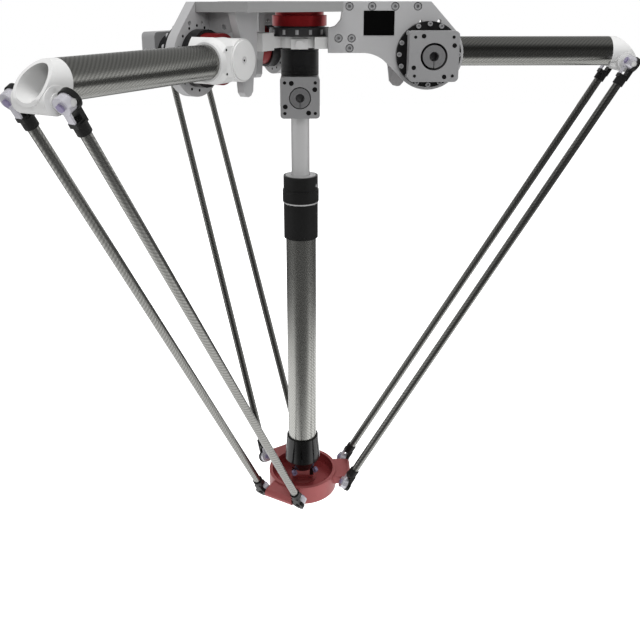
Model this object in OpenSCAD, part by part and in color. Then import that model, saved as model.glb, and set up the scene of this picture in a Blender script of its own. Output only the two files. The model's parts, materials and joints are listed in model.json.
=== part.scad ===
// Ceiling-hung delta robot: plate frame, three carbon arms with paired rods,
// telescopic centre shaft and round tool platform. Millimetres, Z up, origin on the ceiling face.

/* [Frame plates] */
// Thickness of the top plate
plate_thickness = 18; // [16:1:22]
// Distance from the centre to the outer end of each plate wing
plate_reach = 256; // [254:1:264]
// Distance from the centre to the step beside each side plate
plate_step = 82; // [80:1:86]
// Distance from the centre to the long slanted edges
plate_flat = 167; // [164:1:174]
// Radius of the cable opening in the top plate
cable_opening = 42; // [30:1:44]
// Pitch circle of the three ceiling bolts
ceiling_pcd = 280; // [270:2:284]
// Radius of the ceiling bolt holes
ceiling_hole = 5.5; // [4.5:0.5:7]
// Inner face of the side plates, measured from the arm plane
side_inner = 68; // [67:0.5:69]
// Thickness of the side plates
side_thickness = 20; // [18:1:20]
// Radius of the round end that carries the gearbox
side_end = 70; // [69:0.5:74]
// Height of the straight lower edge below the ceiling face
side_edge = 97.7; // [96:0.1:99]
// Radius of the hollow under the side plate
side_fillet = 67; // [60:1:69]
// Thickness of the centre plates
web_thickness = 15; // [12:1:16]

/* [Upper arms] */
// Distance from the centre to the shoulder axes
shoulder_radius = 253; // [251:1:255]
// Depth of the shoulder axes below the ceiling face
shoulder_drop = 100; // [98:1:101]
// Length from shoulder axis to elbow axis
arm_length = 425; // [405:5:445]
// Drop of the elbow axis below the tube axis
elbow_drop = 22; // [22:0.5:23]
// Outer radius of the arm tube
tube_radius = 30; // [29:0.5:30]
// Wall of the arm tube
tube_wall = 3; // [2:0.5:3]

/* [Rods and platform] */
// Length between the rod joint centres
rod_length = 1142; // [1120:2:1160]
// Distance of each rod from the arm plane
rod_half_spacing = 50; // [50:0.5:52]
// Radius of the rods
rod_radius = 8.4; // [7.8:0.1:9]
// Distance from the platform centre to the rod joints
platform_joint = 101.5; // [101:0.5:103]
// Outer radius of the platform ring
platform_radius = 81; // [80:0.5:82]
// Wall of the platform ring
platform_wall = 8; // [6:0.5:9]

/* [Gearboxes] */
// Radius of the gearbox flange
flange_radius = 63.5; // [63:0.5:66]
// Radius of the pilot that passes through the side plate
pilot_radius = 52; // [50:0.5:53]
// Side of the square motor block
motor_square = 94.5; // [92:0.5:96]
// Hole square on the motor block
motor_hole_square = 72; // [71:0.5:72]
// Side of the square block of the swivel drive
drive_square = 81; // [80:0.5:82]
// Hole square on the swivel drive
drive_hole_square = 62.4; // [62:0.1:63]
// Bore of the clamping hubs
clamp_bore = 9; // [7:0.5:9.5]

/* [Centre shaft] */
// Radius of the upper shaft
shaft_radius = 19.5; // [18:0.5:19.5]
// Free height between the upper shaft and the cone
shaft_gap = 73; // [68:1:80]
// Outer radius of the lower shaft tube
lower_tube_radius = 33.2; // [32:0.1:34]
// Wall of the lower shaft tube
lower_tube_wall = 3.7; // [3:0.1:4.5]
// Radius of the shaft collar
collar_radius = 37.5; // [37:0.5:39]

/* [Tool flange] */
// Radius of the tool flange
tool_radius = 31.5; // [31:0.5:33]
// Pitch circle of the tool screws
tool_pcd = 50; // [48:1:50]
// Radius of the tool pilot bore
tool_pilot = 15.75; // [12:0.25:16]

/* [Fits] */
// Radial clearance of turning and sliding fits
running_fit = 0.05; // [0.03:0.01:0.08]
// Radial clearance of seated parts
seat_fit = 0.05; // [0.02:0.01:0.1]

/* [Hidden] */
$fn = 72;
eps = 1;
arm_b = 120;
arm_c = 240;
outward = 0;
inward = 180;
side_outer = side_inner + side_thickness;
plate_step_y = (plate_flat - plate_step * cos(60)) / sin(60);
plate_end_y = (plate_flat - plate_reach * cos(60)) / sin(60);
elbow_x = shoulder_radius + arm_length;
elbow_z = -shoulder_drop - elbow_drop;
rod_reach = elbow_x - platform_joint;
rod_fall = sqrt(rod_length * rod_length - rod_reach * rod_reach);
rod_lean = asin(rod_reach / rod_length);
platform_z = elbow_z - rod_fall;

// Gearbox and motor block stations, measured from the arm plane
flange_thickness = 10;
gear_front = side_outer + flange_thickness;
gear_body = 44;
block_back = 128;
block_depth = 30;
block_front = block_back + block_depth;
gear_back = 46;
spigot_radius = 30;
spigot_depth = 15;
stub_radius = 12;
stub_depth = 18;
hub_recess = 25.5;
clamp_radius = 21.4;
clamp_floor = 3;
flange_screw_circle = 58.4;
flange_screws = 16;

// Shoulder hub
adaptor_radius = 46;
adaptor_front = 12;
drum_radius = 38;
drum_back = 31;
cover_radius = 35;
cover_thickness = 3;
neck_radius = 40;
neck_start = 14;
neck_end = 48;
neck_side = 30;
socket_radius = 34;
socket_start = 55;
socket_end = 69;
tube_start = shoulder_radius + socket_start;
tube_end = elbow_x - 32;

// Elbow and rod joints
ear_half = 31;
boss_radius = 10;
boss_height = 2;
housing_radius = 20;
elbow_pin = 6;
pin_start = 24;
pin_end = 61;
sleeve_radius = rod_radius + 2.4;
sleeve_grip = 12;
prong_inner = 2;
prong_outer = 10;
prong_half = 8;
head_radius = 16;
block_radius = 13.5;
block_end = 12;
strap_half = 6;
strap_inner = 8;
strap_outer = 11;
bolt_radius = 6.5;
bolt_head = 3.5;
yoke_top = 28;
yoke_bottom = 36;
fork_start = 38;
fork_length = 50;
lower_head = 14;
lower_block = 12.5;
lower_yoke = 22;
lower_fork = 44;
platform_ear = 35.5;

// Centre stack heights
ring_top = plate_thickness;
ring_bottom = 48;
flange_top = 51;
flange_bottom = 68;
hub_bottom = 91;
housing_top = 95.5;
housing_bottom = 147;
block_top = 148;
block_bottom = 233;
drive_axis = 191;
drive_front = 52.5;

// Sliding lower shaft heights, measured down from the ceiling face
collar_top = 364;
band_top = 395;
band_bottom = 421;
collar_bottom = 504;
cone_top = -platform_z - 104.8;
cone_wide = -platform_z - 45.8;
cone_bottom = -platform_z - 19.8;

// Platform heights, measured from the rod joint plane
rim_top = 12;
rim_bottom = 31;
floor_top = 14;

// Sends a piece to one of the three arms
module arm(azimuth) {
    rotate([0, 0, azimuth])
        children();
}

// Round bar along Y between two stations
module bar_y(radius, start, end) {
    translate([0, end, 0])
        rotate([90, 0, 0])
            cylinder(r = radius, h = end - start);
}

// Round bar along X between two stations
module bar_x(radius, start, end) {
    translate([start, 0, 0])
        rotate([0, 90, 0])
            cylinder(r = radius, h = end - start);
}

// Round bar along Z between two heights
module bar_z(radius, low, high) {
    translate([0, 0, low])
        cylinder(r = radius, h = high - low);
}

// Box given by its two opposite corners
module box(low, high) {
    translate(low)
        cube(high - low);
}

// Upright plate from a profile in X and Z between two Y stations
module upright(start, end) {
    translate([0, end, 0])
        rotate([90, 0, 0])
            linear_extrude(height = end - start)
                children();
}

module at_shoulder() {
    translate([shoulder_radius, 0, -shoulder_drop])
        children();
}

module at_elbow() {
    translate([elbow_x, 0, elbow_z])
        children();
}

// Frame of a rod: origin in the upper joint, Z up along the rod
module along_rod() {
    at_elbow()
        rotate([0, rod_lean, 0])
            children();
}

module both_rods() {
    children();
    mirror([0, 1, 0])
        children();
}

// Block with four rounded edges along Y, centred on the Y axis
module rounded_block(width, height, corner, start, end) {
    x = width / 2 - corner;
    z = height / 2 - corner;
    box([-x - corner, start, -z], [x + corner, end, z]);
    box([-x, start, -z - corner], [x, end, z + corner]);
    for (i = [-x, x])
        for (k = [-z, z])
            translate([i, 0, k])
                bar_y(corner, start, end);
}

// Socket head screw: head towards -Y, shank towards +Y, seat at Y 0
module socket_screw(head, height, shank, length) {
    difference() {
        bar_y(head, -height, 0);
        translate([0, -height * 0.2, 0])
            rotate([90, 0, 0])
                cylinder(r = head * 0.52, h = height, $fn = 6);
    }
    bar_y(shank, -eps / 2, length);
}

// Screw places on the gearbox flange
module flange_places() {
    for (i = [0:flange_screws - 1])
        rotate([0, i * 360 / flange_screws, 0])
            translate([flange_screw_circle, 0, 0])
                children();
}

// Screw places along the upper edge of a side plate
edge_places = [for (back = [156, 112, 67, 23]) shoulder_radius - back];
// Screw places of the inner web
web_places = [[76.2, -69.5], [101.8, -69.5], [97.9, -88.5]];
frame_head = 6.5;
frame_shank = 3.9;
frame_bore = 8;
frame_bore_depth = 9;
frame_thread = 20;

module frame_places() {
    for (x = edge_places)
        translate([x, 0, -plate_thickness / 2])
            children();
    for (p = web_places)
        translate([p[0], 0, p[1]])
            children();
}

// Blind hole for one frame screw behind the side plate
module frame_thread_hole() {
    bar_y(frame_shank + seat_fit, -side_inner - eps, -side_inner + frame_thread + 2);
}

module top_plate() {
    wing = [
        [plate_step, -plate_step_y], [plate_step, -side_inner],
        [plate_reach, -side_inner], [plate_reach, plate_end_y]
    ];
    outline = [
        for (a = [0, arm_b, arm_c])
            for (p = wing)
                [p[0] * cos(a) - p[1] * sin(a), p[0] * sin(a) + p[1] * cos(a)]
    ];
    difference() {
        translate([0, 0, -plate_thickness])
            linear_extrude(height = plate_thickness)
                polygon(outline);
        bar_z(cable_opening, -plate_thickness - eps, eps);
        for (a = [60, 180, 300])
            rotate([0, 0, a])
                translate([ceiling_pcd / 2, 0, 0])
                    bar_z(ceiling_hole, -plate_thickness - eps, eps);
        for (a = [0, arm_b, arm_c])
            arm(a)
                for (x = edge_places)
                    translate([x, 0, -plate_thickness / 2])
                        frame_thread_hole();
    }
}

module side_plate() {
    run = plate_reach - shoulder_radius;
    tangent = atan2(shoulder_drop, run) - acos(side_end / sqrt(shoulder_drop ^ 2 + run ^ 2));
    slant = side_end * cos(45);
    slant_x = shoulder_radius - slant;
    slant_z = -shoulder_drop - slant;
    fillet_z = -side_edge - side_fillet;
    fillet_x = slant_x + slant_z - fillet_z - side_fillet * sqrt(2);
    touch = side_fillet * cos(45);
    profile = [
        [plate_step, 0], [plate_reach, 0],
        [shoulder_radius + side_end * cos(tangent), -shoulder_drop + side_end * sin(tangent)],
        [shoulder_radius, -shoulder_drop],
        [slant_x, slant_z], [fillet_x + touch, fillet_z + touch],
        [fillet_x, fillet_z], [fillet_x, -side_edge],
        [56, -side_edge], [56, -50], [70, -46], [80, -34], [plate_step, -22]
    ];
    difference() {
        union() {
            upright(-side_outer, -side_inner)
                polygon(profile);
            at_shoulder()
                bar_y(side_end, -side_outer, -side_inner);
        }
        translate([fillet_x, 0, fillet_z])
            bar_y(side_fillet, -side_outer - eps, -side_inner + eps);
        at_shoulder() {
            bar_y(pilot_radius + seat_fit, -side_outer - eps, -side_inner + eps);
            flange_places()
                bar_y(2.5 + seat_fit, -side_outer - eps, -side_inner - 3);
        }
        frame_places() {
            bar_y(frame_bore, -side_outer - eps, -side_outer + frame_bore_depth);
            bar_y(frame_shank + seat_fit, -side_outer - eps, -side_inner + eps);
        }
        translate([shoulder_radius - 16, 0, -37.5])
            bar_y(3, -side_outer - eps, -side_inner + eps);
        translate([shoulder_radius + 20, 0, -37.5])
            bar_y(4.2, -side_outer - eps, -side_inner + eps);
    }
}

// Hanging bracket beside the shoulder, points measured back from the shoulder axis
module centre_plate() {
    half = web_thickness / 2;
    profile = [
        [-83, -plate_thickness], [-13, -plate_thickness], [-13.5, -23], [-29, -66],
        [-34, -149], [-36, -163], [-43, -171], [-49, -172], [-58, -170],
        [-65, -162], [-66.5, -149], [-69, -130], [-81, -92]
    ];
    translate([shoulder_radius, 0, 0])
        difference() {
            union() {
                upright(-half, half)
                    polygon(profile);
                box([-48, -side_inner, -54], [-36, -half + eps, -plate_thickness]);
            }
            translate([0, 0, -shoulder_drop])
                bar_y(drum_radius + 3, -half - 20, half + 20);
            translate([0, -34, -45])
                bar_x(5, -53, -31);
        }
}

module gearbox() {
    at_shoulder()
        difference() {
            union() {
                bar_y(flange_radius, -gear_front, -side_outer);
                bar_y(gear_body, -block_back, -gear_front + eps);
                bar_y(pilot_radius, -side_outer - eps, -gear_back);
            }
            bar_y(spigot_radius + running_fit, -gear_back - spigot_depth - 1, -gear_back + eps);
            bar_y(stub_radius + running_fit, -block_back - eps, -block_back + stub_depth);
            flange_places()
                bar_y(2.5 + seat_fit, -gear_front - eps, -side_outer + eps);
        }
}

motor_screw_circle = 43;
motor_screw_turn = 28.5;

module motor_block() {
    at_shoulder()
        difference() {
            rounded_block(motor_square, motor_square, 9, -block_front, -block_back);
            bar_y(hub_recess, -block_front - eps, -block_back + eps);
            for (x = [-0.5, 0.5])
                for (z = [-0.5, 0.5])
                    translate([x * motor_hole_square, 0, z * motor_hole_square])
                        bar_y(2.5, -block_front - eps, -block_front + 16);
            for (i = [0:3])
                rotate([0, -motor_screw_turn - 90 * i, 0])
                    translate([motor_screw_circle, 0, 0])
                        bar_y(3.8, -block_front - eps, -block_front + 16);
        }
}

module input_hub() {
    at_shoulder()
        difference() {
            union() {
                bar_y(clamp_radius, -block_front - 0.5, -block_back - 11);
                bar_y(stub_radius, -block_back - 12, -block_back + stub_depth - 1);
            }
            bar_y(clamp_bore, -block_front - eps, -block_back + clamp_floor);
            box([-0.7, -block_front - eps, -clamp_radius - eps], [0.7, -block_back - 14, 0]);
        }
}

module screws() {
    at_shoulder()
        flange_places()
            translate([0, -gear_front, 0])
                socket_screw(4.6, 5, 2.5, flange_thickness + 14);
    frame_places()
        translate([0, -side_outer + frame_bore_depth, 0])
            socket_screw(frame_head, 8, frame_shank, side_thickness - frame_bore_depth + frame_thread);
}

module red_ring() {
    difference() {
        union() {
            bar_z(50, -27 - eps, -ring_top);
            bar_z(56, -ring_bottom, -27);
        }
        bar_z(cable_opening, -ring_bottom - eps, -ring_top + eps);
    }
}

module dark_flange() {
    difference() {
        union() {
            bar_z(52, -flange_top - eps, -ring_bottom);
            bar_z(61.5, -flange_bottom, -flange_top);
        }
        bar_z(30, -flange_bottom - eps, -ring_bottom + eps);
        for (i = [0:11])
            rotate([0, 0, 15 + 30 * i])
                translate([56.5, 0, 0])
                    bar_z(2.2, -flange_bottom - eps, -flange_bottom + 8);
    }
}

module hub_ring() {
    difference() {
        union() {
            bar_z(46, -hub_bottom, -flange_bottom);
            for (a = [0, arm_b, arm_c])
                arm(a) {
                    box([30, -side_inner, -hub_bottom], [70, -20, -flange_bottom]);
                    box([68, -side_inner, -hub_bottom - 4], [110, -20, -60]);
                }
            box([-17.5, -50, -93], [17.5, 50, -73]);
            translate([0, 0, -84])
                bar_y(9, -55, 55);
        }
        bar_z(24, -94, -flange_bottom + eps);
        for (a = [0, arm_b, arm_c])
            arm(a)
                for (p = web_places)
                    translate([p[0], 0, p[1]])
                        frame_thread_hole();
    }
}

module drive_housing() {
    groove = 0.6;
    difference() {
        union() {
            bar_z(30, -housing_top - eps, -hub_bottom - 2);
            bar_z(39.5, -housing_bottom, -housing_top);
        }
        bar_z(14, -housing_bottom - eps, -hub_bottom + eps);
        for (z = [100, 128, 139])
            difference() {
                bar_z(40.5, -z - groove, -z + groove);
                bar_z(39.5 - groove, -z - groove - eps, -z + groove + eps);
            }
    }
}

drive_screw_circle = 35;
drive_screw_turn = 30;
drive_floor = 27;

module angle_gearbox() {
    difference() {
        union() {
            translate([0, 0, -(block_top + block_bottom) / 2])
                rounded_block(drive_square, block_bottom - block_top, 7, -drive_front, drive_square / 2);
            bar_z(30, -block_top - eps, -housing_bottom);
        }
        translate([0, 0, -drive_axis]) {
            bar_y(22.5, -drive_front - eps, -drive_front + 18);
            bar_y(stub_radius + running_fit, -drive_front - eps, -drive_front + 30);
            for (x = [-0.5, 0.5])
                for (z = [-0.5, 0.5])
                    translate([x * drive_hole_square, 0, z * drive_hole_square])
                        bar_y(2.5, -drive_front - eps, -drive_front + 12);
            for (i = [0:3])
                rotate([0, -drive_screw_turn - 90 * i, 0])
                    translate([drive_screw_circle, 0, 0])
                        bar_y(3.4, -drive_front - eps, -drive_front + 14);
        }
        bar_z(shaft_radius + running_fit, -block_bottom - eps, -block_bottom + 17);
    }
}

module drive_hub() {
    translate([0, 0, -drive_axis])
        difference() {
            union() {
                bar_y(20.5, -drive_front - 0.5, -drive_front + 17);
                bar_y(stub_radius, -drive_front + 16, -drive_front + 29);
            }
            bar_y(clamp_bore, -drive_front - eps, -drive_front + drive_floor);
            box([-0.7, -drive_front - eps, -21.5], [0.7, -drive_front + 14, 0]);
        }
}

module rating_plate() {
    translate([shoulder_radius, 0, 0])
        box([-128, -side_outer - 0.8, -64], [-68, -side_outer, -17]);
}

module hub() {
    at_shoulder()
        difference() {
            union() {
                bar_y(drum_radius, -adaptor_front - eps, drum_back);
                bar_y(cover_radius, drum_back - eps, drum_back + cover_thickness);
                intersection() {
                    union() {
                        bar_x(neck_radius, neck_start, neck_end);
                        translate([neck_end, 0, 0])
                            rotate([0, 90, 0])
                                cylinder(r1 = neck_radius, r2 = socket_radius, h = 10);
                    }
                    box([0, -neck_radius - 5, -60], [70, neck_side, 60]);
                }
                bar_x(socket_radius, neck_end + 5, socket_end);
            }
            bar_y(adaptor_radius + seat_fit, -neck_radius - 10, -adaptor_front);
            bar_x(tube_radius + seat_fit, socket_start, socket_end + eps);
            bar_y(7, drum_back - 12, drum_back + cover_thickness + eps);
        }
}

module adaptor() {
    at_shoulder()
        difference() {
            union() {
                bar_y(adaptor_radius, -gear_back + 0.5, -adaptor_front);
                bar_y(spigot_radius, -gear_back - spigot_depth, -gear_back + eps);
            }
            bar_y(12, -gear_back - spigot_depth - eps, -adaptor_front + eps);
        }
}

module tube() {
    translate([0, 0, -shoulder_drop])
        difference() {
            bar_x(tube_radius, tube_start, tube_end);
            bar_x(tube_radius - tube_wall, tube_start - eps, tube_end + eps);
        }
}

// Large cylinder that rounds the slanted nose of the elbow
nose_radius = 139;
nose_back = 102.8;
nose_drop = 58.2;

module elbow() {
    bore = tube_radius - tube_wall - 2.5;
    nose = elbow_x - tube_end + 22;
    difference() {
        union() {
            intersection() {
                at_elbow()
                    translate([-nose_back, 0, -nose_drop])
                        bar_y(nose_radius, -50, 50);
                translate([tube_end, 0, -shoulder_drop])
                    bar_x(tube_radius, 0, nose);
            }
            at_elbow() {
                bar_y(housing_radius, -ear_half, ear_half);
                upright(-22, 22)
                    polygon([[-32, -8], [-32, -1], [0, 0], [7, -18.7], [0, -housing_radius]]);
            }
        }
        translate([0, 0, -shoulder_drop])
            bar_x(bore, tube_end - eps, tube_end + nose + eps);
    }
    translate([0, 0, -shoulder_drop])
        difference() {
            bar_x(tube_radius - tube_wall - seat_fit, tube_end - 30, tube_end + eps);
            bar_x(bore, tube_end - 31, tube_end + 2);
        }
    at_elbow()
        both_rods() {
            bar_y(elbow_pin, pin_start, pin_end);
            bar_y(boss_radius, ear_half - eps, ear_half + boss_height);
        }
}

module rods() {
    both_rods()
        along_rod()
            translate([0, rod_half_spacing, 0])
                bar_z(rod_radius, -rod_length + lower_fork - sleeve_grip, -fork_start);
}

// Frame of a rod head, turned about the rod so that +X points at the bolted cheek
module at_heads(turn, height) {
    both_rods()
        along_rod()
            translate([0, rod_half_spacing, height])
                rotate([0, 0, turn])
                    children();
}

// Black fork of the upper rod end
module forks_top(turn) {
    at_heads(turn, 0)
        difference() {
            union() {
                bar_x(head_radius, -prong_outer, -prong_inner);
                box([-prong_outer, -prong_half, -yoke_bottom], [-prong_inner, prong_half, 0]);
                box([-prong_outer, -prong_half, -yoke_bottom], [strap_outer, prong_half, -yoke_top]);
                bar_z(sleeve_radius, -fork_length, -yoke_bottom + 5);
            }
            bar_y(elbow_pin + running_fit, -head_radius - eps, head_radius + eps);
            bar_z(rod_radius + seat_fit, -fork_length - eps, -fork_start);
        }
}

// Pivot block of the upper rod end with its thin strap and bolt
module pivots_top(turn) {
    at_heads(turn, 0)
        difference() {
            union() {
                bar_x(block_radius, -prong_inner, block_end);
                box([strap_inner, -strap_half, -yoke_top], [strap_outer, strap_half, 0]);
                translate([block_end - eps, 0, 0])
                    rotate([0, 90, 0])
                        cylinder(r = bolt_radius, h = bolt_head + eps, $fn = 6);
            }
            bar_y(elbow_pin + running_fit, -head_radius, head_radius);
        }
}

// Black fork of the lower rod end
module forks_bottom() {
    at_heads(inward, -rod_length)
        difference() {
            union() {
                bar_x(lower_head, -prong_outer, -prong_inner);
                box([-prong_outer, -prong_half, 0], [-prong_inner, prong_half, yoke_bottom - 6]);
                box([-prong_outer, -prong_half, lower_yoke], [prong_outer, prong_half, yoke_bottom - 6]);
                bar_z(sleeve_radius, yoke_bottom - 8, lower_fork);
                bar_x(5, -prong_outer - 2, -prong_outer + eps);
            }
            bar_z(rod_radius + seat_fit, lower_fork - sleeve_grip, lower_fork + eps);
        }
}

// Pivot block of the lower rod end with its thin strap and bolt
module pivots_bottom() {
    at_heads(inward, -rod_length) {
        bar_x(lower_block, -prong_inner, block_end);
        box([prong_outer - 3, -strap_half, 0], [prong_outer, strap_half, lower_yoke]);
        translate([block_end - eps, 0, 0])
            rotate([0, 90, 0])
                cylinder(r = bolt_radius, h = bolt_head + eps, $fn = 6);
    }
}

module platform() {
    translate([0, 0, platform_z])
        difference() {
            union() {
                bar_z(platform_radius, -rim_bottom, rim_top);
                for (a = [0, arm_b, arm_c])
                    rotate([0, 0, a]) {
                        box([60, -platform_ear, -10], [106.5, platform_ear, 9]);
                        translate([106.5, 0, -0.5])
                            bar_y(9.5, -platform_ear, platform_ear);
                    }
            }
            bar_z(platform_radius - platform_wall, -floor_top, rim_top + eps);
            bar_z(tool_radius + running_fit, -rim_bottom - eps, -floor_top + eps);
        }
}

module tool_flange() {
    translate([0, 0, platform_z])
        difference() {
            union() {
                bar_z(tool_radius, -rim_bottom, -floor_top + 2);
                bar_z(16, -floor_top, -9);
                box([-24, -8, -9 - eps], [24, 8, -4]);
            }
            bar_z(tool_pilot, -rim_bottom - eps, -rim_bottom + 6);
            for (i = [0:3])
                rotate([0, 0, 45 + 90 * i])
                    translate([tool_pcd / 2, 0, 0])
                        bar_z(2.5, -rim_bottom - eps, -rim_bottom + 12);
        }
}

module upper_shaft() {
    difference() {
        bar_z(shaft_radius, -cone_top + shaft_gap, -block_bottom + 16);
        bar_z(shaft_radius - 5, -cone_top + shaft_gap - eps, -block_bottom - 20);
    }
}

module collar() {
    difference() {
        union() {
            bar_z(collar_radius, -collar_bottom, -collar_top);
            bar_z(collar_radius + 2, -band_bottom, -band_top);
        }
        bar_z(shaft_radius + running_fit, -collar_bottom - eps, -collar_top + eps);
        bar_z(lower_tube_radius + seat_fit, -collar_bottom - eps, -collar_bottom + 24);
    }
}

module shaft_tube() {
    difference() {
        bar_z(lower_tube_radius, -cone_top - 16, -collar_bottom + 24);
        bar_z(lower_tube_radius - lower_tube_wall, -cone_top - 17, -collar_bottom + 25);
    }
}

module cone() {
    difference() {
        union() {
            translate([0, 0, -cone_wide])
                cylinder(r1 = 42, r2 = 37, h = cone_wide - cone_top);
            translate([0, 0, -cone_bottom])
                cylinder(r1 = 27, r2 = 42, h = cone_bottom - cone_wide);
            box([-26, -9, platform_z - 4], [-17, 9, -cone_bottom + 2]);
            box([17, -9, platform_z - 4], [26, 9, -cone_bottom + 2]);
        }
        bar_z(lower_tube_radius + seat_fit, -cone_top - 16, -cone_top + eps);
    }
}

aluminium = [0.62, 0.62, 0.62];
black = [0.09, 0.09, 0.09];
pale = [0.78, 0.78, 0.76];
carbon = [0.22, 0.22, 0.2];
red = [0.6, 0.1, 0.1];
steel = [0.75, 0.73, 0.78];

color(aluminium) top_plate();
color(aluminium) side_plate();  // side_plate_a
color(aluminium) arm(arm_b) side_plate();  // side_plate_b
color(aluminium) arm(arm_c) side_plate();  // side_plate_c
color(aluminium) centre_plate();  // centre_plate_a
color(aluminium) arm(arm_b) centre_plate();  // centre_plate_b
color(aluminium) arm(arm_c) centre_plate();  // centre_plate_c
color(black) gearbox();  // gearbox_a
color(black) arm(arm_b) gearbox();  // gearbox_b
color(black) arm(arm_c) gearbox();  // gearbox_c
color(aluminium) motor_block();  // motor_block_a
color(aluminium) arm(arm_b) motor_block();  // motor_block_b
color(aluminium) arm(arm_c) motor_block();  // motor_block_c
color(steel) screws();  // screws_a
color(steel) arm(arm_b) screws();  // screws_b
color(steel) arm(arm_c) screws();  // screws_c
color(red) red_ring();
color(black) dark_flange();
color(pale) hub_ring();
color(black) drive_housing();
color(aluminium) angle_gearbox();
color(black) rating_plate();
color(steel) input_hub();  // input_hub_a
color(steel) arm(arm_b) input_hub();  // input_hub_b
color(steel) arm(arm_c) input_hub();  // input_hub_c
color(steel) drive_hub();
color(pale) hub();  // hub_a
color(pale) arm(arm_b) hub();  // hub_b
color(pale) arm(arm_c) hub();  // hub_c
color(red) adaptor();  // adaptor_a
color(red) arm(arm_b) adaptor();  // adaptor_b
color(red) arm(arm_c) adaptor();  // adaptor_c
color(carbon) tube();  // tube_a
color(carbon) arm(arm_b) tube();  // tube_b
color(carbon) arm(arm_c) tube();  // tube_c
color(pale) elbow();  // elbow_a
color(pale) arm(arm_b) elbow();  // elbow_b
color(pale) arm(arm_c) elbow();  // elbow_c
color(carbon) rods();  // rods_a
color(carbon) arm(arm_b) rods();  // rods_b
color(carbon) arm(arm_c) rods();  // rods_c
color(black) forks_top(inward);  // forks_top_a
color(black) arm(arm_b) forks_top(outward);  // forks_top_b
color(black) arm(arm_c) forks_top(outward);  // forks_top_c
color(black) forks_bottom();  // forks_bottom_a
color(black) arm(arm_b) forks_bottom();  // forks_bottom_b
color(black) arm(arm_c) forks_bottom();  // forks_bottom_c
color(steel) pivots_top(inward);  // pivots_top_a
color(steel) arm(arm_b) pivots_top(outward);  // pivots_top_b
color(steel) arm(arm_c) pivots_top(outward);  // pivots_top_c
color(steel) pivots_bottom();  // pivots_bottom_a
color(steel) arm(arm_b) pivots_bottom();  // pivots_bottom_b
color(steel) arm(arm_c) pivots_bottom();  // pivots_bottom_c
color(red) platform();
color(steel) tool_flange();
color(steel) upper_shaft();
color(black) collar();
color(carbon) shaft_tube();
color(black) cone();
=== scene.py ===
# Ceiling-hung delta robot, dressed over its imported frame. Units are metres, Z up.
import json
import math
import bmesh
import bpy
from mathutils import Matrix, Vector

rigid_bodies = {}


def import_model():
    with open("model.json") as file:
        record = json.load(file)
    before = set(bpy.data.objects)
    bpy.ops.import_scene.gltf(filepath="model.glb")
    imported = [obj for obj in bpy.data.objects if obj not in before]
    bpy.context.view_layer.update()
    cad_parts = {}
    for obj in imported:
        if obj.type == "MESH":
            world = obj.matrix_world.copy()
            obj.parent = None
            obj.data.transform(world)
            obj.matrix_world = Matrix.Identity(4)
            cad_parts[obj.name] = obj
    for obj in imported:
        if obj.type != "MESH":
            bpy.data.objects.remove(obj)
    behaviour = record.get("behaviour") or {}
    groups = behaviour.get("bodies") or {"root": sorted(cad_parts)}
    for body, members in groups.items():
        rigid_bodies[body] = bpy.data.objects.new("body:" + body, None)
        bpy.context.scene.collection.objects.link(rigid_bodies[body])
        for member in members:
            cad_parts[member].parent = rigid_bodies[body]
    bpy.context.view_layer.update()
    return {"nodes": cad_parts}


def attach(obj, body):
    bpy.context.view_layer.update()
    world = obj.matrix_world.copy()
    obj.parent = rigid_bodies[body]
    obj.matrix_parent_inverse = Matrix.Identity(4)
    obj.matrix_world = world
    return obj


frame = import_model()
nodes = frame["nodes"]
scene = bpy.context.scene

# ---------------------------------------------------------------- Camera
# The robot is seen from just below its ceiling plate, with the first arm pointing right.
LOOK_DOWN, LOOK_RIGHT = 15.431, 1.42
camera = bpy.data.objects.new("camera", bpy.data.cameras.new("camera"))
scene.collection.objects.link(camera)
camera.location = (0.00353, -1.5582, 0.004713)
camera.rotation_euler = (math.radians(90 - LOOK_DOWN), 0, math.radians(-LOOK_RIGHT))
camera.data.sensor_width = 36
camera.data.lens = 41.37
camera.data.shift_y = -0.1844
camera.data.clip_end = 60
scene.camera = camera

# ---------------------------------------------------------------- Light
# Soft boxes at the front, the sides and the back, and a strong one above the ceiling plate that
# whitens what faces up. None shows in reflections, so round tubes stay dark along their tops.
scene.view_settings.view_transform = "Standard"


def soft_box(name, place, aim_height, width, depth, watts):
    lamp = bpy.data.lights.new(name, "AREA")
    lamp.shape, lamp.size, lamp.size_y, lamp.energy = "RECTANGLE", width, depth, watts
    box = bpy.data.objects.new(name, lamp)
    box.location = place
    aim = Vector((0, 0, aim_height)) - Vector(place)
    box.rotation_euler = aim.to_track_quat("-Z", "Y").to_euler()
    box.visible_glossy = False
    scene.collection.objects.link(box)


soft_box("key_box", (1.0, -5.6, 2.2), aim_height=-0.25, width=2.4, depth=2.4, watts=115)
soft_box("left_box", (-4.6, -3.6, 1.0), aim_height=-0.3, width=2.6, depth=2.4, watts=45)
soft_box("right_box", (4.6, -3.4, 0.4), aim_height=-0.4, width=2.6, depth=2.4, watts=40)
soft_box("top_box", (0.0, -1.0, 4.4), aim_height=-0.2, width=3.0, depth=2.4, watts=190)
soft_box("back_box", (0.4, 5.0, 2.2), aim_height=-0.4, width=3.0, depth=1.6, watts=90)


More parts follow.
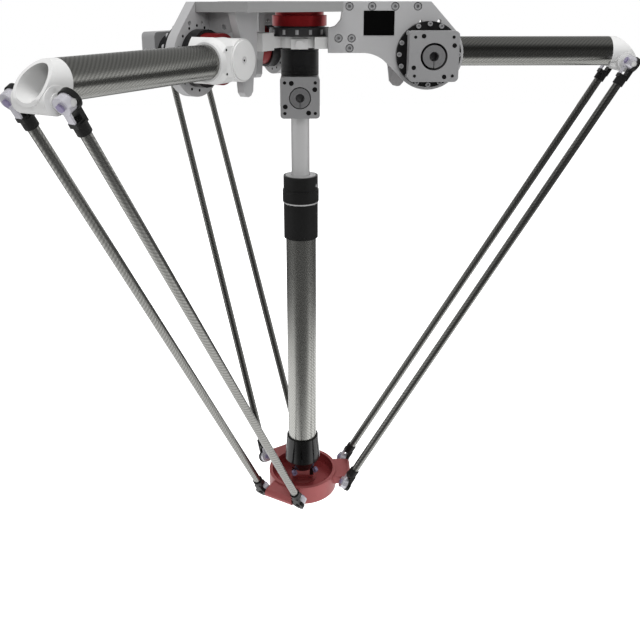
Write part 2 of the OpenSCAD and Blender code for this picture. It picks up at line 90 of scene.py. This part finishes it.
# ---------------------------------------------------------------- Plate frame
# Three side plates and three hanging brackets, milled from thick aluminium plate and screwed
# through their edges to the top plate. All are blasted and anodised; the top plate's darker
# colour is painted shade.
class Wire:
    """One socket of a tree, so that the sums over a surface are written as sums."""

    def __init__(self, tree, socket):
        self.tree = tree
        self.socket = socket

    def node(self, kind, settings=(), sockets=(), out=0):
        made = self.tree.nodes.new(kind)
        for name, value in dict(settings).items():
            setattr(made, name, value)
        for name, value in dict(sockets).items():
            if isinstance(value, Wire):
                self.tree.links.new(value.socket, made.inputs[name])
            else:
                made.inputs[name].default_value = value
        return Wire(self.tree, made.outputs[out])

    def sums(self, operation, *terms):
        return self.node("ShaderNodeMath", {"operation": operation}, dict(enumerate(terms)))

    def __add__(self, other):
        return self.sums("ADD", self, other)

    def __sub__(self, other):
        return self.sums("SUBTRACT", self, other)

    def __rsub__(self, other):
        return self.sums("SUBTRACT", other, self)

    def __mul__(self, other):
        return self.sums("MULTIPLY", self, other)

    def __truediv__(self, other):
        return self.sums("DIVIDE", self, other)

    def __gt__(self, other):
        return self.sums("GREATER_THAN", self, other)

    def __lt__(self, other):
        return self.sums("LESS_THAN", self, other)

    __radd__ = __add__
    __rmul__ = __mul__

    def floor(self):
        return self.sums("FLOOR", self)

    def unsigned(self):
        return self.sums("ABSOLUTE", self)

    def root(self):
        return self.sums("SQRT", self)

    def between(self, low, high):
        """0 at low, 1 at high, and a smooth step between them."""
        return self.node("ShaderNodeMapRange", {"interpolation_type": "SMOOTHSTEP"},
                         {"Value": self, "From Min": low, "From Max": high})

    def parts(self):
        """The X, Y and Z of a place."""
        split = self.tree.nodes.new("ShaderNodeSeparateXYZ")
        self.tree.links.new(self.socket, split.inputs[0])
        return [Wire(self.tree, axis) for axis in split.outputs]


class Finish:
    """One material, the skin that its wires feed, and the place on the piece."""

    def __init__(self, name, metal=0.0, rough=0.5, coat=0.0, coat_rough=0.1, shine=0.5):
        self.material = bpy.data.materials.new(name)
        self.material.use_nodes = True
        self.tree = self.material.node_tree
        self.skin = self.tree.nodes["Principled BSDF"]
        self.skin.inputs["Metallic"].default_value = metal
        self.skin.inputs["Roughness"].default_value = rough
        self.skin.inputs["Specular IOR Level"].default_value = shine
        self.skin.inputs["Coat Weight"].default_value = coat
        self.skin.inputs["Coat Roughness"].default_value = coat_rough
        corners = self.tree.nodes.new("ShaderNodeTexCoord")
        self.place = Wire(self.tree, corners.outputs["Object"])

    def turned(self, azimuth, lean, origin):
        """Place measured from origin, with the arm's azimuth and then the lean undone."""
        moved = self.place.node("ShaderNodeVectorMath", {"operation": "SUBTRACT"},
                                {0: self.place, 1: origin})
        flat = self.place.node("ShaderNodeVectorRotate", {"rotation_type": "Z_AXIS"},
                               {"Vector": moved, "Angle": math.radians(-azimuth)})
        return self.place.node("ShaderNodeVectorRotate", {"rotation_type": "Y_AXIS"},
                               {"Vector": flat, "Angle": math.radians(-lean)})

    def noise(self, scale, detail=3.0, rough=0.5):
        return self.place.node("ShaderNodeTexNoise", {}, {
            "Vector": self.place, "Scale": scale, "Detail": detail, "Roughness": rough})

    def colour(self, factor, first, second):
        ends = {0: factor}
        for slot, end in ((6, first), (7, second)):
            ends[slot] = end if isinstance(end, Wire) else (*end, 1)
        return self.place.node("ShaderNodeMix", {"data_type": "RGBA"}, ends, out=2)

    def feed(self, socket, wire):
        self.tree.links.new(wire.socket, self.skin.inputs[socket])

    def relief(self, height, depth, rounding=0.0):
        sockets = {"Height": height, "Distance": depth, "Strength": 1.0}
        if rounding:
            sockets["Normal"] = self.place.node("ShaderNodeBevel", {"samples": 4},
                                                {"Radius": rounding})
        self.feed("Normal", self.place.node("ShaderNodeBump", {}, sockets))

    def on(self, *names):
        for name in names:
            mesh = nodes[name].data
            mesh.materials.clear()
            mesh.materials.append(self.material)


def on_arms(name):
    return [name + "_" + arm for arm in "abc"]


def satin(name, light, dark, rough=0.42, metal=0.3, grain=900, shine=0.5):
    """Blasted or painted surface: fine even grain, faint handling marks, broken edges."""
    skin = Finish(name, metal=metal, rough=rough, shine=shine)
    grains = skin.noise(grain, 2.0)
    marks = skin.noise(9, 4.0, 0.6)
    skin.feed("Base Color", skin.colour(marks * 0.7 + grains * 0.3, dark, light))
    skin.feed("Roughness", marks * 0.16 + (rough - 0.08))
    skin.relief(grains, depth=0.00004, rounding=0.0008)
    return skin


plates = satin("frame_plate", (0.50, 0.50, 0.505), (0.42, 0.42, 0.425), rough=0.4, metal=0.15)
plates.on(*on_arms("side_plate"), *on_arms("centre_plate"))
# The top plate's colour is set darker than the other plates as painted shade.
roof = satin("roof_plate_painted_shade", (0.35, 0.35, 0.35), (0.29, 0.29, 0.29), metal=0.25)
roof.on("top_plate")

# ---------------------------------------------------------------- Gearboxes
# Planetary gearboxes with a bolted flange, one on each side plate, and the housing of the
# swivel drive under the centre hub. Their cases are cast and painted black.
black_case = satin("gearbox_black", (0.016, 0.016, 0.017), (0.007, 0.007, 0.007),
                   rough=0.36, metal=0.0, grain=1400, shine=0.3)
black_case.on(*on_arms("gearbox"), "drive_housing")

# ---------------------------------------------------------------- Motor blocks
# Square aluminium adapters that the motors bolt to, milled and left bare. The swivel drive
# has a taller one.
bare_block = satin("motor_block_alloy", (0.36, 0.36, 0.365), (0.29, 0.29, 0.295),
                   rough=0.36, metal=0.25)
bare_block.on(*on_arms("motor_block"), "angle_gearbox")

# ---------------------------------------------------------------- Screws
# Socket head screws of zinc plated steel: those of the plate frame, sunk in counterbores, and
# the ring round each gearbox flange.
zinc = satin("zinc_screw", (0.60, 0.60, 0.61), (0.46, 0.46, 0.47), rough=0.3, metal=0.5)
zinc.on(*on_arms("screws"))

# ---------------------------------------------------------------- Red ring and adaptors
# Turned aluminium, anodised red: the ring under the top plate, and an adaptor that joins
# each shoulder hub to its gearbox, its red painted darker as shade.
red_ring = satin("red_anodised", (0.46, 0.018, 0.022), (0.33, 0.010, 0.014),
                 rough=0.3, metal=0.5)
red_ring.on("red_ring")
# The adaptor's darker red is painted shade.
red_adaptor_painted_shade = satin("red_adaptor_painted_shade", (0.24, 0.010, 0.013), (0.16, 0.006, 0.008),
                    rough=0.34, metal=0.4)
red_adaptor_painted_shade.on(*on_arms("adaptor"))

# ---------------------------------------------------------------- Pale castings
# Shoulder hubs, elbows and the centre hub are alloy castings with a smooth pale grey paint.
pale = satin("pale_grey_paint", (0.72, 0.72, 0.715), (0.65, 0.65, 0.645),
             metal=0.0, grain=420, shine=0.35)
pale.on("hub_ring", *on_arms("hub"), *on_arms("elbow"))

# ---------------------------------------------------------------- Rating plate
# Thin black plastic plate glued to the first side plate. It is left bare.
label = satin("bare_label", (0.003, 0.003, 0.003), (0.0015, 0.0015, 0.0015),
              rough=0.7, metal=0.0, grain=1600, shine=0.05)
label.on("rating_plate")

# ---------------------------------------------------------------- Clamping hubs
# Split steel hubs that grip the motor shafts, turned and left as machined.
turned_steel = satin("turned_steel", (0.32, 0.32, 0.325), (0.25, 0.25, 0.255),
                     rough=0.36, metal=0.55)
turned_steel.on(*on_arms("input_hub"), "drive_hub")

# ---------------------------------------------------------------- Arm tubes
# Round tubes of carbon fibre, wrapped in a fine twill cloth and closed with a thin lacquer.
# The centre shaft's outer tube is wrapped in the same way, in a paler cloth.
ARMS = {"a": 0, "b": 120, "c": 240}
SHOULDER_HEIGHT = -0.1
TUBE_RADIUS, SHAFT_RADIUS = 0.03, 0.0332
TOW = 0.002


def lacquered(name):
    return Finish(name, metal=1.0, coat=0.15, coat_rough=0.2)


def twill(cloth, along, across, radius, tow, dark, light):
    """2/2 twill on a round bar: along is the place on its axis, across its cross section."""
    round_it = along.sums("ARCTAN2", *across) * (radius / tow)
    length = along / tow
    step = (round_it.floor() - length.floor()) / 4
    over = (step - step.floor()) < 0.49
    crown_rise_and_sheen = over * (round_it.sums("PINGPONG", round_it, 0.5) * 2) \
        + (1 - over) * (length.sums("PINGPONG", length, 0.5) * 2)
    fibre = cloth.noise(1500, 2.0)
    # The weave is real, but its lighter colour on the tows that lie over, and at each tow's
    # crown, is painted sheen for the fibres catching the light by their direction.
    cloth.feed("Base Color", cloth.colour(over * 0.6 + crown_rise_and_sheen * 0.22 + fibre * 0.25, dark, light))
    cloth.feed("Roughness", 0.24 - over * 0.06 + fibre * 0.08)
    cloth.relief(crown_rise_and_sheen * 0.7 + fibre * 0.3, depth=0.00003)


for arm, azimuth in ARMS.items():
    tube_cloth = lacquered("twill_tube_" + arm)
    x, y, z = tube_cloth.turned(azimuth, 0, (0, 0, SHOULDER_HEIGHT)).parts()
    twill(tube_cloth, x, (y, z), TUBE_RADIUS, TOW,
          dark=(0.18, 0.18, 0.17), light=(0.33, 0.33, 0.31))
    tube_cloth.on("tube_" + arm)
shaft_cloth = lacquered("twill_shaft")
x, y, z = shaft_cloth.place.parts()
twill(shaft_cloth, z, (x, y), SHAFT_RADIUS, TOW,
      dark=(0.40, 0.40, 0.375), light=(0.60, 0.60, 0.57))
shaft_cloth.on("shaft_tube")

# ---------------------------------------------------------------- Rods
# Slim carbon rods with a woven outer layer, one pair to each arm, 100 mm apart. They lean
# inwards from the elbow to the platform.
ELBOW_REACH, ELBOW_HEIGHT, PLATFORM_REACH = 0.678, -0.122, 0.1015
ROD_LENGTH, ROD_RADIUS, ROD_OFFSET, ROD_TOW = 1.142, 0.0084, 0.05, 0.0022
rod_lean = math.degrees(math.asin((ELBOW_REACH - PLATFORM_REACH) / ROD_LENGTH))


def facing(azimuth):
    """The turn that sends a piece drawn for the first arm to another arm."""
    return Matrix.Rotation(math.radians(azimuth), 4, "Z")


def from_the_elbow(finish, azimuth):
    """Place along and across the rods of one arm, measured from its elbow."""
    elbow = facing(azimuth) @ Vector((ELBOW_REACH, 0, ELBOW_HEIGHT))
    return finish.turned(azimuth, rod_lean, elbow).parts()


for arm, azimuth in ARMS.items():
    rod_cloth = lacquered("twill_rod_" + arm)
    x, y, z = from_the_elbow(rod_cloth, azimuth)
    twill(rod_cloth, z, (x, y.unsigned() - ROD_OFFSET), ROD_RADIUS, ROD_TOW,
          dark=(0.20, 0.20, 0.19), light=(0.38, 0.38, 0.36))
    rod_cloth.on("rods_" + arm)

# ---------------------------------------------------------------- Rod ends
# Black moulded forks on the rods. The pivot blocks in them are plain alloy, each closed by a
# lilac passivated bolt that starts where the block ends.
moulded = satin("fork_black", (0.014, 0.014, 0.014), (0.006, 0.006, 0.006),
                metal=0.0, grain=1200, shine=0.3)
moulded.on(*on_arms("forks_top"), *on_arms("forks_bottom"))
lilac_light, lilac_dark = (0.40, 0.36, 0.52), (0.26, 0.22, 0.38)
BLOCK_END = 0.0123
for arm, azimuth in ARMS.items():
    pivot = Finish("pivot_alloy_" + arm, metal=0.5, rough=0.3)
    x, y, z = from_the_elbow(pivot, azimuth)
    bolt = x.unsigned() > BLOCK_END
    cloud = pivot.noise(60, 3.0)
    plain = pivot.colour(cloud, (0.58, 0.57, 0.62), (0.70, 0.69, 0.74))
    passivated = pivot.colour(cloud, lilac_dark, lilac_light)
    pivot.feed("Base Color", pivot.colour(bolt, plain, passivated))
    pivot.feed("Roughness", cloud * 0.14 + 0.22)
    pivot.relief(pivot.noise(1300, 2.0), depth=0.00003, rounding=0.0008)
    pivot.on("pivots_top_" + arm, "pivots_bottom_" + arm)

# ---------------------------------------------------------------- Platform
# Tool platform with three ears, milled from one round of aluminium and anodised a dusty red.
# Inside its cup the colour is painted darker, as shade in the hollow.
CUP_RADIUS, CUP_FLOOR = 0.0734, -1.1225
dusty_red = Finish("platform_anodised", metal=0.45, rough=0.36, coat=0.12, coat_rough=0.3)
x, y, z = dusty_red.place.parts()
inside = ((x * x + y * y).root() < CUP_RADIUS) * (z > CUP_FLOOR)
bloom = dusty_red.noise(16, 4.0)
outer_red = dusty_red.colour(bloom, (0.36, 0.095, 0.095), (0.46, 0.125, 0.125))
# Inside the cup the red is painted darker as shade; it is also a little smoother there.
dusty_red.feed("Base Color", dusty_red.colour(inside, outer_red, (0.32, 0.050, 0.052)))
dusty_red.feed("Roughness", bloom * 0.18 + 0.28 - inside * 0.1)
dusty_red.relief(dusty_red.noise(900, 2.0), depth=0.00003, rounding=0.0010)
dusty_red.on("platform")

# ---------------------------------------------------------------- Tool flange
# Machined steel flange under the cup. Its top, inside the cup, is red like the cup.
FLANGE_TOP = -1.1216
flange_steel = Finish("tool_flange_steel", metal=0.6, rough=0.3)
x, y, z = flange_steel.place.parts()
grains = flange_steel.noise(900, 2.0)
machined = flange_steel.colour(grains, (0.34, 0.34, 0.35), (0.46, 0.46, 0.47))
flange_steel.feed("Base Color",
                  flange_steel.colour(z > FLANGE_TOP, machined, (0.40, 0.080, 0.080)))
flange_steel.feed("Roughness", grains * 0.16 + 0.22)
flange_steel.relief(grains, depth=0.00003, rounding=0.0006)
flange_steel.on("tool_flange")

# ---------------------------------------------------------------- Centre shaft
# Pale anodised shaft that slides below the swivel drive, into a black collar on the carbon
# tube. The polished black cone at the tube's foot holds the joint to the platform.
slide = satin("shaft_pale", (0.74, 0.74, 0.74), (0.66, 0.66, 0.66), rough=0.34, metal=0.4)
slide.on("upper_shaft")
hard_black = satin("collar_black", (0.013, 0.013, 0.013), (0.006, 0.006, 0.006),
                   rough=0.3, metal=0.0, grain=1000)
hard_black.on("collar")
gloss_black = satin("cone_black", (0.004, 0.004, 0.004), (0.002, 0.002, 0.002),
                    rough=0.13, metal=0.0, grain=1000, shine=0.6)
gloss_black.on("cone")

# ---------------------------------------------------------------- Swivel flange
# Blackened steel flange between the red ring and the centre hub, with zinc plated socket
# screws standing round its edge.
gun_metal = satin("flange_steel", (0.075, 0.075, 0.078), (0.05, 0.05, 0.052),
                  rough=0.32, metal=0.4)
gun_metal.on("dark_flange")


class Recipe:
    """A Geometry Nodes tree with named sizes. cast turns it into a plain mesh on a body."""

    def __init__(self, name, **sizes):
        self.tree = bpy.data.node_groups.new(name, "GeometryNodeTree")
        self.tree.interface.new_socket("Geometry", in_out="OUTPUT",
                                       socket_type="NodeSocketGeometry")
        self.ids = {}
        for label, kind in sizes.items():
            made = self.tree.interface.new_socket(label, in_out="INPUT",
                                                  socket_type="NodeSocket" + kind)
            self.ids[label] = made.identifier
        inputs = self.tree.nodes.new("NodeGroupInput")
        self.sizes = {label: Wire(self.tree, inputs.outputs[label]) for label in sizes}
        self.start = Wire(self.tree, None)

    def step(self, kind, settings=(), sockets=()):
        return self.start.node(kind, settings, sockets)

    def join(self, *shapes):
        made = self.step("GeometryNodeJoinGeometry")
        for shape in reversed(shapes):
            self.tree.links.new(shape.socket, made.socket.node.inputs[0])
        return made

    def circle(self):
        """Count points on a circle round Z, the first one on X."""
        turn = self.step("GeometryNodeInputIndex") * math.tau / self.sizes["Count"]
        spot = self.step("ShaderNodeCombineXYZ", (), {
            "X": turn.sums("COSINE", turn) * self.sizes["Circle"],
            "Y": turn.sums("SINE", turn) * self.sizes["Circle"]})
        return self.step("GeometryNodePoints", (), {
            "Count": self.sizes["Count"], "Position": spot})

    def rises(self, face, height):
        """A flat face along Z, as a closed solid of that height."""
        wall = self.step("GeometryNodeExtrudeMesh", (), {
            "Mesh": face, "Offset Scale": height, "Individual": False})
        under = self.step("GeometryNodeFlipFaces", (), {0: face})
        return self.step("GeometryNodeMergeByDistance", (), {
            "Geometry": self.join(wall, under), "Distance": 1e-6})

    def closes_with(self, shape, material):
        solid = self.step("GeometryNodeRealizeInstances", (), {0: shape})
        painted = self.step("GeometryNodeSetMaterial", (), {
            "Geometry": solid, "Material": material})
        ends = self.tree.nodes.new("NodeGroupOutput")
        self.tree.links.new(painted.socket, ends.inputs[0])

    def cast(self, name, turn, body, slot, **values):
        holder = bpy.data.objects.new(name + "_recipe", bpy.data.meshes.new(name))
        scene.collection.objects.link(holder)
        modifier = holder.modifiers.new("recipe", "NODES")
        modifier.node_group = self.tree
        for label, value in values.items():
            modifier[self.ids[label]] = value
        bpy.context.view_layer.update()
        evaluated = holder.evaluated_get(bpy.context.evaluated_depsgraph_get())
        mesh = bpy.data.meshes.new_from_object(evaluated)
        mesh.transform(turn)
        bpy.data.objects.remove(holder)
        piece = bpy.data.objects.new(name, mesh)
        scene.collection.objects.link(piece)
        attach(piece, body)


def screw_ring(name, material):
    """Socket head screws on a circle round Z, standing on Z 0."""
    ring = Recipe(name, Count="Int", Circle="Float", Head="Float", Height="Float",
                  Socket="Float")
    size = ring.sizes
    rim = ring.step("GeometryNodeCurvePrimitiveCircle", (), {
        "Resolution": 24, "Radius": size["Head"]})
    key = ring.step("GeometryNodeCurvePrimitiveCircle", (), {
        "Resolution": 6, "Radius": size["Socket"]})
    face = ring.step("GeometryNodeFillCurve", (), {"Curve": ring.join(rim, key)})
    floor_height = size["Height"] * 0.4
    key_floor = ring.step("GeometryNodeMeshCylinder", (), {
        "Vertices": 12, "Radius": size["Socket"] * 1.15, "Depth": floor_height})
    lift = ring.step("ShaderNodeCombineXYZ", (), {"Z": floor_height * 0.5})
    lifted = ring.step("GeometryNodeTransform", (), {
        "Geometry": key_floor, "Translation": lift})
    screw = ring.join(ring.rises(face, size["Height"]), lifted)
    ring.closes_with(ring.step("GeometryNodeInstanceOnPoints", (), {
        "Points": ring.circle(), "Instance": screw}), material)
    return ring


SCREW_SEAT = -0.0640
zinc_ring = screw_ring("zinc_ring", zinc.material)
zinc_ring.cast("flange_edge_screws", Matrix.Translation((0, 0, SCREW_SEAT)) @ facing(8),
               "base", "screws", Count=14, Circle=0.0588, Head=0.0042, Height=0.0095,
               Socket=0.0021)

# ---------------------------------------------------------------- Open holes
# Thin near-black discs stand for open holes as painted shade: the ring left by the flange screws
# of each gearbox on the inner face of its side plate, two sets of four bolt holes on the motor
# blocks and the swivel drive, and on each shoulder hub two in the flat of its neck, one in its
# cover.
SHOULDER_REACH = 0.253
PLATE_INSIDE, MOTOR_FACE, NECK_FLAT, HUB_COVER = -0.068, -0.1581, 0.0301, 0.0336
DRIVE_FACE, DRIVE_HEIGHT = -0.0526, -0.191
sideways = Matrix.Rotation(math.radians(90), 4, "X")
# These near-black discs on the surfaces are painted shade standing for the insides of open
# holes.
shade = satin("open_hole_painted_shade", (0.010, 0.010, 0.010), (0.004, 0.004, 0.004),
              rough=0.7, metal=0.0, shine=0.1)
mouths = Recipe("mouths", Count="Int", Circle="Float", Radius="Float", Depth="Float")
mouth = mouths.step("GeometryNodeMeshCylinder", (), {
    "Vertices": 16, "Radius": mouths.sizes["Radius"], "Depth": mouths.sizes["Depth"]})
mouths.closes_with(mouths.step("GeometryNodeInstanceOnPoints", (), {
    "Points": mouths.circle(), "Instance": mouth}), shade.material)


def beside_shoulder(azimuth, side, reach=SHOULDER_REACH, height=SHOULDER_HEIGHT):
    """Faces out of the first arm's side, at that distance from its middle plane."""
    return facing(azimuth) @ Matrix.Translation((reach, side, height)) @ sideways


for arm, azimuth in ARMS.items():
    mouths.cast("flange_holes_" + arm, beside_shoulder(azimuth, PLATE_INSIDE), "base",
                "label_black", Count=16, Circle=0.0584, Radius=0.0026, Depth=0.0004)
for arm, azimuth in ARMS.items():
    motor_face = beside_shoulder(azimuth, MOTOR_FACE)
    mouths.cast("motor_holes_%s_43" % arm, motor_face @ facing(28.5), "base", "label_black",
                Count=4, Circle=0.043, Radius=0.0043, Depth=0.0003)
    mouths.cast("motor_holes_%s_50" % arm, motor_face @ facing(45), "base", "label_black",
                Count=4, Circle=0.0509, Radius=0.0030, Depth=0.0003)
    neck = beside_shoulder(azimuth, NECK_FLAT, reach=0.3012, height=-0.0997)
    mouths.cast("hub_screws_" + arm, neck @ facing(90), "arm_" + arm, "label_black",
                Count=2, Circle=0.0205, Radius=0.0022, Depth=0.0004)
    mouths.cast("hub_centre_" + arm, beside_shoulder(azimuth, HUB_COVER), "arm_" + arm,
                "label_black", Count=1, Circle=0.0, Radius=0.0020, Depth=0.0004)
drive_face = Matrix.Translation((0, DRIVE_FACE, DRIVE_HEIGHT)) @ sideways
mouths.cast("drive_holes_35", drive_face @ facing(30), "base", "label_black",
            Count=4, Circle=0.035, Radius=0.0050, Depth=0.0003)
mouths.cast("drive_holes_44", drive_face @ facing(45), "base", "label_black",
            Count=4, Circle=0.04412, Radius=0.0034, Depth=0.0003)

# ---------------------------------------------------------------- Shoulder wings
# Cast wings of each shoulder hub that reach back round the red adaptor, and leave it showing
# only above and below. They are one casting with the hub and painted with it.
WING_REACH, WING_WALL, WING_RISE, WING_STEPS = 0.0534, 0.003, 0.0405, 16
WING_BACK, WING_BACK_EDGE, WING_FRONT = -0.0515, -0.0500, 0.0
for arm, azimuth in ARMS.items():
    wing = bmesh.new()
    outer = WING_REACH + WING_WALL
    profile = ((WING_REACH, WING_BACK), (outer, WING_BACK_EDGE), (outer, WING_FRONT),
               (WING_REACH, WING_FRONT))
    half_turn = math.asin(WING_RISE / outer)
    rows = []
    for i in range(2 * WING_STEPS + 1):
        turn = half_turn * (i / WING_STEPS - 1)
        rows.append([wing.verts.new((SHOULDER_REACH + reach * math.cos(turn), side,
                                     SHOULDER_HEIGHT + reach * math.sin(turn)))
                     for reach, side in profile])
    for first, second in zip(rows, rows[1:]):
        for k in range(4):
            wing.faces.new((first[k], first[(k + 1) % 4], second[(k + 1) % 4], second[k]))
    wing.faces.new(rows[0])
    wing.faces.new(rows[-1][::-1])
    bmesh.ops.recalc_face_normals(wing, faces=wing.faces)
    wing.transform(facing(azimuth))
    wing_mesh = bpy.data.meshes.new("hub_wing_" + arm)
    wing.to_mesh(wing_mesh)
    wing.free()
    wing_mesh.materials.append(pale.material)
    wing_piece = bpy.data.objects.new("hub_wing_" + arm, wing_mesh)
    scene.collection.objects.link(wing_piece)
    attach(wing_piece, "arm_" + arm)

# ---------------------------------------------------------------- Collar and hub plugs
# Turned rings of pale alloy: the lid and the lower edge of the black collar, and the plug in
# each shoulder hub's cover. A zinc plated screw clamps the collar.
COLLAR_TOP, COLLAR_BAND, PLUG_SEAT = -0.364, -0.4245, 0.0318
CLAMP_SCREW = (0.0335, -0.014, -0.384)
turned_ring = Recipe("turned_disc", Radius="Float", Height="Float", Bore="Float")
ring_rim = turned_ring.step("GeometryNodeCurvePrimitiveCircle", (), {
    "Resolution": 64, "Radius": turned_ring.sizes["Radius"]})
ring_bore = turned_ring.step("GeometryNodeCurvePrimitiveCircle", (), {
    "Resolution": 64, "Radius": turned_ring.sizes["Bore"]})
ring_face = turned_ring.step("GeometryNodeFillCurve", (), {
    "Curve": turned_ring.join(ring_rim, ring_bore)})
turned_ring.closes_with(turned_ring.rises(ring_face, turned_ring.sizes["Height"]),
                        slide.material)
turned_ring.cast("collar_lid", Matrix.Translation((0, 0, COLLAR_TOP)), "shaft_lower",
                 "shaft_pale", Radius=0.033, Height=0.0012, Bore=0.0205)
turned_ring.cast("collar_edge", Matrix.Translation((0, 0, COLLAR_BAND)), "shaft_lower",
                 "shaft_pale", Radius=0.0383, Height=0.0028, Bore=0.0374)
for arm, azimuth in ARMS.items():
    in_cover = Matrix.Translation((SHOULDER_REACH, PLUG_SEAT, SHOULDER_HEIGHT))
    turned_ring.cast("hub_plug_" + arm, facing(azimuth) @ in_cover @ sideways.inverted(),
                     "arm_" + arm, "pale_castings", Radius=0.0072, Height=0.0018, Bore=0.0019)
zinc_ring.cast("collar_screw", Matrix.Translation(CLAMP_SCREW) @ facing(112)
               @ sideways.inverted(), "shaft_lower", "screws",
               Count=1, Circle=0.0, Head=0.0042, Height=0.008, Socket=0.002)

# ---------------------------------------------------------------- Cone bolts
# Two lilac passivated bolts hold the black fork of the cone to its joint.
lilac = satin("lilac_bolt", lilac_light, lilac_dark, rough=0.26, metal=0.5)
lilac_ring = screw_ring("lilac_ring", lilac.material)
for side, place, swing in (("left", (-0.021, -0.020, -1.095), 20),
                           ("right", (0.033, -0.010, -1.095), -50)):
    lilac_ring.cast("cone_bolt_" + side, Matrix.Translation(place) @ facing(swing) @ sideways,
                    "shaft_lower", "pivot_alloy",
                    Count=1, Circle=0.0, Head=0.0065, Height=0.007, Socket=0.003)

# ---------------------------------------------------------------- Floor
# Plain white floor well below the robot. Polished surfaces show it bright under the robot and
# dim far off in front and all round.
bpy.ops.mesh.primitive_plane_add(size=24, location=(0, 0, -1.9))
floor = bpy.context.object
floor.name = "floor"
paper = Finish("floor_white", rough=0.9, shine=0.1)
paper.skin.inputs["Base Color"].default_value = (0.95, 0.95, 0.95, 1)
paper.skin.inputs["Emission Color"].default_value = (1, 1, 1, 1)
rays = paper.tree.nodes.new("ShaderNodeLightPath")
seen = Wire(paper.tree, rays.outputs["Is Camera Ray"])
mirrored = Wire(paper.tree, rays.outputs["Is Glossy Ray"])
x, y, z = paper.place.parts()
far_in_front = (0 - y).between(0.75, 1.8)
far_off = (x * x + y * y).root().between(2.1, 3.0)
far = 1 - (1 - far_in_front) * (1 - far_off)
paper.feed("Emission Strength", seen + mirrored * (0.25 - 0.25 * far))
gloom = paper.place.node("ShaderNodeEmission", (), {"Color": (0.10, 0.10, 0.10, 1)})
split = paper.place.node("ShaderNodeMixShader", (), {0: mirrored * far})
paper.tree.links.new(paper.skin.outputs[0], split.socket.node.inputs[1])
paper.tree.links.new(gloom.socket, split.socket.node.inputs[2])
paper.tree.links.new(split.socket, paper.tree.nodes["Material Output"].inputs["Surface"])
paper.material.cycles.emission_sampling = "NONE"
floor.data.materials.append(paper.material)

# ---------------------------------------------------------------- Room
# White room. Polished surfaces show it bright behind the robot, dim above it and nearly dark
# in front, which gives tubes a dark middle. Other surfaces get a weak fill, more from below.
room = bpy.data.worlds.new("room")
scene.world = room
room.use_nodes = True
room.cycles.sampling_method = "NONE"
tree = room.node_tree
x, y, z = Wire(tree, tree.nodes.new("ShaderNodeTexCoord").outputs["Generated"]).parts()
rays = tree.nodes.new("ShaderNodeLightPath")
seen = Wire(tree, rays.outputs["Is Camera Ray"])
mirrored = Wire(tree, rays.outputs["Is Glossy Ray"])
behind = y.between(-0.85, -0.35)
overhead = z.between(-0.1, 0.4)
reflected = (0.10 + 0.86 * behind) * (1 - 0.65 * overhead)
fill = 0.18 + 0.30 * z.between(0.1, -0.5)
level = seen + (1 - seen) * (mirrored * reflected + (1 - mirrored) * fill)
backdrop = tree.nodes["Background"]
backdrop.inputs["Color"].default_value = (1, 1, 1, 1)
tree.links.new(level.socket, backdrop.inputs["Strength"])
